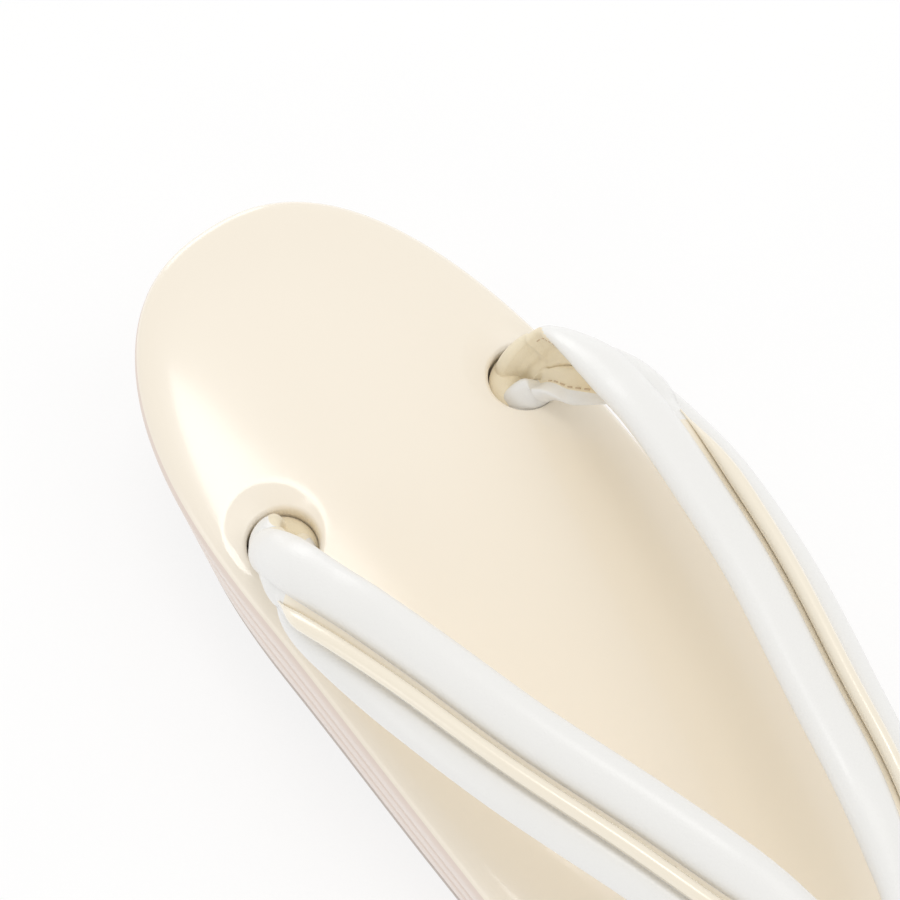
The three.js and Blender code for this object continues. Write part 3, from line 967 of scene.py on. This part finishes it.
@dataclass
class Band:
    """One padded band of the strap, with its lining. Places along it are table rows."""

    shape: StrapShape
    side: int
    piping_start: float
    piping_end: float = 12.2
    steps: int = 150
    inner_turn: float = 0.35
    outer_turn: float = 1.5
    hole_fill: float = 3.2
    outer_drop: float = 4.8
    tuck: float = 0.0
    lined_turn: float = 1.5
    seat_from: float = 0.15
    edge_roll: float = 0.8
    fold_opening: tuple[float, float] = (-1.0, 0.2)
    fold_softness: float = 0.3
    tuck_start: Span = Span(1.0, 2.0)
    tuck_end: Span = Span(3.6, 5.2)
    drop_across: Span = Span(0.5, 7.0)
    drop_end: Span = Span(1.9, 3.8)
    stuffed_end: Span = Span(1.2, 2.6)
    crowded_end: Span = Span(1.6, 4.6)
    lined_end: Span = Span(2.2, 3.4)
    cord_facets: int = 24
    cord_steps: int = 130
    cord_taper: float = 1.3
    cord_tip: float = 0.1
    cord_lift: float = 0.05
    seam: Seam = Seam()
    gathered: Gather = Gather()

    @property
    def hand(self) -> str:
        """The side of the sandal that the band is on."""
        return "left" if self.side > 0 else "right"

    def at(self, position: float, w: float, height: float) -> Vector:
        """Returns the point at a distance from the fold and a height over the middle."""
        shape = self.shape
        place, face, across = shape.frame(position)
        near_hole = self.tuck_start.rise(position) * self.tuck_end.fall(position)
        bend = math.radians(shape.value("bend", position))
        if w < 0:
            bend *= 1 + self.tuck * near_hole
        m_across, m_face, angle = shape.middle(w, bend, shape.value("curl", position))
        wide, thick = shape.value("wide", position), shape.value("thick", position)
        d_across = m_across * wide + height * thick * math.sin(angle)
        d_face = m_face * wide + height * thick * math.cos(angle)
        point = place + across * d_across + face * d_face
        drop = self.outer_drop * self.drop_across.rise(w) * self.drop_end.fall(position)
        return Vector((point.x, self.side * point.y + shape.deck.shift, point.z - drop))

    def cover_height(self, position: float, w: float, height: float) -> float:
        """Returns the cover's height, closed over the fold where it has no piping."""
        shape = self.shape
        before, after = self.fold_opening
        closed = Span(self.piping_start + before, self.piping_start + after).fall(position)
        spread = clamp(2 - abs(w) / shape.seat, 0.0, 1.0)
        open_height = max(height, closed * shape.fold_padding * spread**self.fold_softness)
        from_edge = min(w + shape.seat + shape.inner_panel, shape.seat + shape.outer_panel - w)
        stuffed = shape.inner_padding * clamp(from_edge / self.edge_roll, 0.0, 1.0) ** 0.5
        return lerp(open_height, stuffed, self.stuffed_end.fall(position))

    def lining_height(self, position: float, depth: float) -> float:
        """Returns the lining's height, crowded together where the band enters its hole."""
        thick = self.shape.value("thick", position)
        full = self.hole_fill * depth / self.shape.lining_depth / thick
        return -lerp(depth, full, self.crowded_end.fall(position))

    def build(self, *finishes: Material) -> Piece:
        """Makes the band as one closed skin.

        Args:
            finishes: Finishes of the cover, the lining and the piping's seat.

        Returns:
            The finished band.
        """
        shape = self.shape
        profile = shape.profile()
        last = len(shape.rows) - 1
        count = 2 * len(profile) - 2
        inner_edge, outer_edge = profile[0][0], profile[-1][0]
        rings, walk = [], [0.0]
        for i in range(self.steps + 1):
            position = last * i / self.steps
            heights = [(w, self.cover_height(position, w, outer)) for w, outer, _ in profile]
            for w, _, depth in reversed(profile[1:-1]):
                heights.append((w, self.lining_height(position, depth)))
            rings.append([self.at(position, w, height) for w, height in heights])
        middle = len(profile) // 2
        for before, after in zip(rings, rings[1:]):
            walk.append(walk[-1] + (after[middle] - before[middle]).length)

        def width_of(k: int) -> float:
            """Returns the distance from the fold of the ring's point k."""
            return profile[k][0] if k < len(profile) else profile[count - k][0]

        def paint(ring: int, k: int) -> int:
            """Returns 0 for the cover's faces, 1 for the lining's and 2 for the seat's."""
            w = (width_of(k) + width_of((k + 1) % count)) / 2
            inside = inner_edge + self.inner_turn < w < outer_edge - self.outer_turn
            position = last * ring / self.steps
            turn = self.lined_turn * self.lined_end.fall(position)
            lined_edge = w < inner_edge + turn or (self.tuck > 0 and w > outer_edge - turn)
            piped = self.piping_start + self.seat_from < position < self.piping_end
            if k < len(profile) - 1 and piped and abs(w) < shape.seat:
                return 2
            return int(lined_edge or (k >= len(profile) - 1 and inside))

        def chart(ring: int, k: int) -> tuple[float, float]:
            """Returns the place along the band and across it, in metres."""
            return walk[ring] * MM, width_of(k) * MM

        band = Tube(f"band_{self.hand}", rings, TubeEnds.CAPS, paint, chart).build()
        dress(band, *finishes)
        return band

    def stitches(self, finish: Material) -> Piece:
        """Sews the lining on: one stitch is modelled and copied along both edges."""
        seam, shape = self.seam, self.shape
        deselect_all()
        bpy.ops.mesh.primitive_cylinder_add(
            vertices=seam.facets, radius=seam.radius * MM, depth=seam.length * MM
        )
        first = bpy.context.object
        bpy.ops.object.mode_set(mode="EDIT")
        bpy.ops.mesh.select_all(action="SELECT")
        bpy.ops.mesh.bevel(offset=seam.bevel * MM, segments=seam.bevel_steps, affect="EDGES")
        bpy.ops.object.mode_set(mode="OBJECT")
        outer_edge = shape.seat + shape.outer_panel - seam.outer_inset
        pieces = []
        for edge in (-shape.seat - shape.inner_panel, outer_edge):
            position, spot = seam.start, None
            while position < len(shape.rows) - seam.stop:
                inset = lerp(*seam.inner_inset, seam.inner_change.rise(position))
                w = edge if edge > 0 else edge + inset
                place = self.on_lining(position, w)
                if spot is None or (place - spot).length >= seam.pitch:
                    along = self.on_lining(position + seam.look_ahead, w) - place
                    turn = along.to_track_quat("Z", "Y").to_matrix().to_4x4()
                    stitch = bpy.data.objects.new("stitch", first.data.copy())
                    stitch.data.transform(Matrix.Translation(place * MM) @ turn)
                    bpy.context.scene.collection.objects.link(stitch)
                    pieces.append(stitch)
                    spot = place
                position += seam.step
        bpy.data.objects.remove(first, do_unlink=True)
        sewn = join_pieces(pieces, f"lining_seam_{self.hand}")
        dress(sewn, finish)
        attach(sewn, "root")
        return sewn

    def on_lining(self, position: float, w: float) -> Vector:
        """Returns the point of the lining's skin where a stitch lies on it."""
        shape = self.shape
        width, side = (shape.inner_panel, -1) if w < 0 else (shape.outer_panel, 1)
        depth = shape.lining_at(1 - 2 * (side * w - shape.seat) / width)
        stand = self.seam.stand / shape.value("thick", position)
        return self.at(position, w, self.lining_height(position, depth) - stand)

    def gather(self, finish: Material) -> Piece:
        """Makes the lining that is gathered in the hole, with a crease across it."""
        deck, sole, gathered = self.shape.deck, self.shape.sole, self.gathered
        x, y = deck.hole_x, self.side * deck.hole_spacing / 2 + deck.shift
        slope = sole.rim_slope(x)
        radius = deck.hole_width / 2 - gathered.clearance
        turn_x, turn_y = gathered.crease_turn
        rings = []
        for i in range(gathered.rings):
            share = 1 - i / gathered.rings
            ring = []
            for c, s in circle(gathered.facets):
                dx, dy = radius * share * c, radius * share * s
                crease = math.exp(-((dx * turn_x + self.side * dy * turn_y) ** 2))
                sink = gathered.sink + gathered.edge_sink * share**4
                sink += gathered.crease_depth * crease
                ring.append(Vector((x + dx, y + dy, sole.rim_z(x) + slope * dx - sink)))
            rings.append(ring)
        lowest = [Vector((p.x, p.y, p.z - gathered.depth)) for p in rings[0]]
        plug = Tube(f"lining_gather_{self.hand}", [lowest, *rings]).build()
        dress(plug, finish)
        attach(plug, "root")
        return plug

    def piping(self, finish: Material) -> Piece:
        """Makes the raised cord along the band's fold, thinning out at both ends."""
        shape = self.shape
        start, end = self.piping_start, self.piping_end
        rings = []
        for i in range(self.cord_steps + 1):
            position = lerp(start, end, i / self.cord_steps)
            from_end = min(position - start, end - position) / self.cord_taper
            share = lerp(self.cord_tip, 1.0, smoothstep(from_end, 0.0, 1.0))
            place, face, across = shape.frame(position)
            seat = shape.seat_depth * shape.value("thick", position) + self.cord_lift
            centre = place + face * (seat + share * shape.piping_height / 2)
            ring = []
            for c, s in circle(self.cord_facets):
                point = centre + across * (c * share * shape.piping_width / 2)
                point += face * (s * share * shape.piping_height / 2)
                ring.append(Vector((point.x, self.side * point.y + shape.deck.shift, point.z)))
            rings.append(ring)
        cord = Tube(f"piping_cord_{self.hand}", rings).build()
        dress(cord, finish)
        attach(cord, "root")
        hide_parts("piping_left" if self.side > 0 else "piping_right")
        return cord


@dataclass
class FrontJoin:
    """Rounded bar in which both bands end, and the thong that holds it."""

    shape: StrapShape
    width: float = 13.0
    height: float = 10.5
    rise: float = 26.0
    back: float = 13.0
    nose: float = 8.5
    round_length: float = 5.0
    thong_width: float = 7.0
    thong_span: float = 5.8
    thong_wall: float = 2.2
    waist: float = 3.0
    bar_steps: int = 32
    bar_facets: int = 48
    bar_tip: float = 0.03
    leg_depth: float = 9.0
    leg_steps: int = 10
    loop_start_degrees: float = -38.0
    loop_steps: int = 36
    loop_facets: int = 32
    loop_fullness: tuple[float, float] = (0.7, 0.8)
    smoothings: int = 2

    @property
    def axis_z(self) -> float:
        """Height of the join's axis."""
        return self.shape.sole.rim_z(self.shape.deck.front_x) + self.rise

    def bar(self) -> Piece:
        """Makes the rounded bar."""
        deck = self.shape.deck
        start, stop = deck.front_x - self.back, deck.front_x + self.nose
        rings = []
        for i in range(self.bar_steps + 1):
            t = i / self.bar_steps
            x = lerp(start, stop, (1 - math.cos(math.pi * t)) / 2)
            edge = min(x - start, stop - x) / self.round_length
            share = max(self.shape.sole.round_end(edge), self.bar_tip)
            ring = []
            for c, s in circle(self.bar_facets):
                y = deck.shift + share * self.width / 2 * c
                ring.append(Vector((x, y, self.axis_z + share * self.height / 2 * s)))
            rings.append(ring)
        return Tube("join_bar", rings).build()

    def _path(self) -> list[Vector]:
        """Walks the thong's middle line: up one leg, over the join and down the other."""
        deck = self.shape.deck
        leg = self.thong_span / 4
        bottom = self.shape.sole.rim_z(deck.front_x) - self.leg_depth
        reach_y = self.width / 2 + self.shape.gap + self.thong_wall / 2
        reach_z = self.height / 2 + self.shape.gap + self.thong_wall / 2
        foot = self.axis_z - reach_z - self.waist
        shares = [i / self.leg_steps for i in range(self.leg_steps + 1)]
        points = [Vector((0, leg, lerp(bottom, foot, share))) for share in shares]
        start = math.radians(self.loop_start_degrees)
        for i in range(self.loop_steps + 1):
            angle = lerp(start, math.pi - start, i / self.loop_steps)
            y, z = reach_y * math.cos(angle), self.axis_z + reach_z * math.sin(angle)
            points.append(Vector((0, y, z)))
        points += [Vector((0, -leg, lerp(foot, bottom, share))) for share in shares]
        return [p + Vector((deck.front_x, deck.shift, 0)) for p in points]

    def thong(self, finish: Material) -> Piece:
        """Makes the padded loop over the join with its two legs."""
        path = self._path()
        for _ in range(self.smoothings):
            inner = [(a + 2 * b + c) / 4 for a, b, c in zip(path, path[1:], path[2:])]
            path = [path[0], *inner, path[-1]]
        full_across, full_out = self.loop_fullness
        rings = []
        for i, point in enumerate(path):
            before, after = path[max(i - 1, 0)], path[min(i + 1, len(path) - 1)]
            along = (after - before).normalized()
            wide = Vector((1, 0, 0))
            thick = along.cross(wide).normalized()
            ring = []
            for c, s in circle(self.loop_facets):
                across = math.copysign(abs(c) ** full_across, c) * self.thong_width / 2
                out = math.copysign(abs(s) ** full_out, s) * self.thong_wall / 2
                ring.append(point + wide * across + thick * out)
            rings.append(ring)
        loop = Tube("thong_loop", rings).build()
        dress(loop, finish)
        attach(loop, "root")
        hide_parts("toe_thong")
        return loop


@dataclass
class Strap:
    """The whole thong strap: both bands, their join, piping and thong."""

    shape: StrapShape
    piping_starts: tuple[float, float] = (7.0, 4.8)
    right_tuck: float = 0.35

    def build(self) -> None:
        """Makes every piece of the strap and lets it ride on the sandal."""
        cover, lining, cord, thread = (
            finish.make() for finish in (PEARL_LEATHER, SUEDE, CHAMPAGNE, THREAD)
        )
        join = FrontJoin(self.shape)
        left, right = self.piping_starts
        bands = [Band(self.shape, 1, left), Band(self.shape, -1, right, tuck=self.right_tuck)]
        skins = [band.build(cover, lining, cord) for band in bands]
        bar = join.bar()
        dress(bar, cover)
        for piece in (*skins, bar):
            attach(piece, "root")
            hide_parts("hanao")
        for band in bands:
            band.piping(cord)
            band.stitches(thread)
            band.gather(lining)
        join.thong(cover)


# Studio


@dataclass(frozen=True)
class SoftLight:
    """One square soft light, aimed at the sandal's heel half."""

    name: str
    direction: Triple
    distance: float
    size: float
    watts: float
    color: Triple = (1.0, 1.0, 1.0)

    def place(self, aim: Vector) -> None:
        """Adds the light at its distance from the aim."""
        deselect_all()
        spot = aim + Vector(self.direction).normalized() * self.distance
        bpy.ops.object.light_add(type="AREA", location=spot)
        light = bpy.context.object
        light.name = self.name
        light.data.shape = "SQUARE"
        light.data.size = self.size
        light.data.energy = self.watts
        light.data.color = self.color
        light.rotation_euler = (spot - aim).to_track_quat("Z", "Y").to_euler()


@dataclass
class Studio:
    """Pale floor, soft lights and the camera."""

    lights: tuple[SoftLight, ...] = (
        SoftLight("key", (0.45, 0.30, 0.88), 1.5, 0.9, 2.6, (1.0, 0.99, 0.975)),
        SoftLight("top_box", (-0.08, 0.07, 1.0), 1.2, 0.3, 1.3),
        SoftLight("back_box", (-0.92, 0.25, 0.22), 1.2, 0.6, 2.2),
        SoftLight("side_box", (-0.25, -0.95, 0.24), 1.2, 0.4, 0.5),
        SoftLight("fill", (0.9, -0.5, 0.5), 2.0, 1.2, 1.4),
    )
    world_color: Triple = (1.0, 0.995, 0.985)
    world_strength: float = 0.80
    floor_m: float = 12.0
    light_aim_mm: Triple = (-30.0, 0.0, 30.0)
    clip_start_m: float = 0.01
    aim_mm: Triple = (-55.51, 6.92, 45.0)
    elevation: float = 61.066
    azimuth: float = -38.242
    distance_mm: float = 600.11
    focal_pixels: float = 3382.865
    roll: float = -0.305

    def floor(self) -> None:
        """Adds the pale floor under the sandal."""
        deselect_all()
        bpy.ops.mesh.primitive_plane_add(size=self.floor_m, location=(0, 0, 0))
        floor = bpy.context.object
        floor.name = "floor"
        floor.data.materials.append(PAPER.make())

    def sky(self) -> None:
        """Sets the even light all round."""
        scene = bpy.context.scene
        world = bpy.data.worlds.new("studio")
        scene.world = world
        world.use_nodes = True
        background = world.node_tree.nodes["Background"]
        background.inputs["Color"].default_value = (*self.world_color, 1.0)
        background.inputs["Strength"].default_value = self.world_strength
        scene.view_settings.view_transform = "Standard"

    def camera(self) -> None:
        """Adds the camera at the angle of the picture."""
        deselect_all()
        aim = Vector(self.aim_mm) * MM
        e, a = math.radians(self.elevation), math.radians(self.azimuth)
        back = Vector((math.cos(e) * math.cos(a), math.cos(e) * math.sin(a), math.sin(e)))
        bpy.ops.object.camera_add(location=aim + back * self.distance_mm * MM)
        camera = bpy.context.object
        camera.data.sensor_width = SENSOR_MM
        camera.data.lens = self.focal_pixels / FRAME_PIXELS * SENSOR_MM
        camera.data.clip_start = self.clip_start_m
        turn = back.to_track_quat("Z", "Y").to_matrix().to_4x4()
        roll = Matrix.Rotation(math.radians(self.roll), 4, "Z")
        camera.rotation_euler = (turn @ roll).to_euler()
        bpy.context.scene.camera = camera

    def build(self) -> None:
        """Sets up the whole studio."""
        self.floor()
        self.sky()
        for light in self.lights:
            light.place(Vector(self.light_aim_mm) * MM)
        self.camera()


def main() -> None:
    """Builds the studio and the sandal's looks."""
    logging.basicConfig(level=logging.INFO, format="%(message)s")
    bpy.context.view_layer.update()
    Studio().build()
    sole = SoleShape()
    deck = Deck(sole)
    enamel, side = ENAMEL.make(), ENAMEL_SIDE.make()
    deck.build(enamel, side)
    SoleStack(sole).build(side, RUBBER.make())
    Strap(StrapShape(sole, deck)).build()


if __name__ == "__main__":
    main()
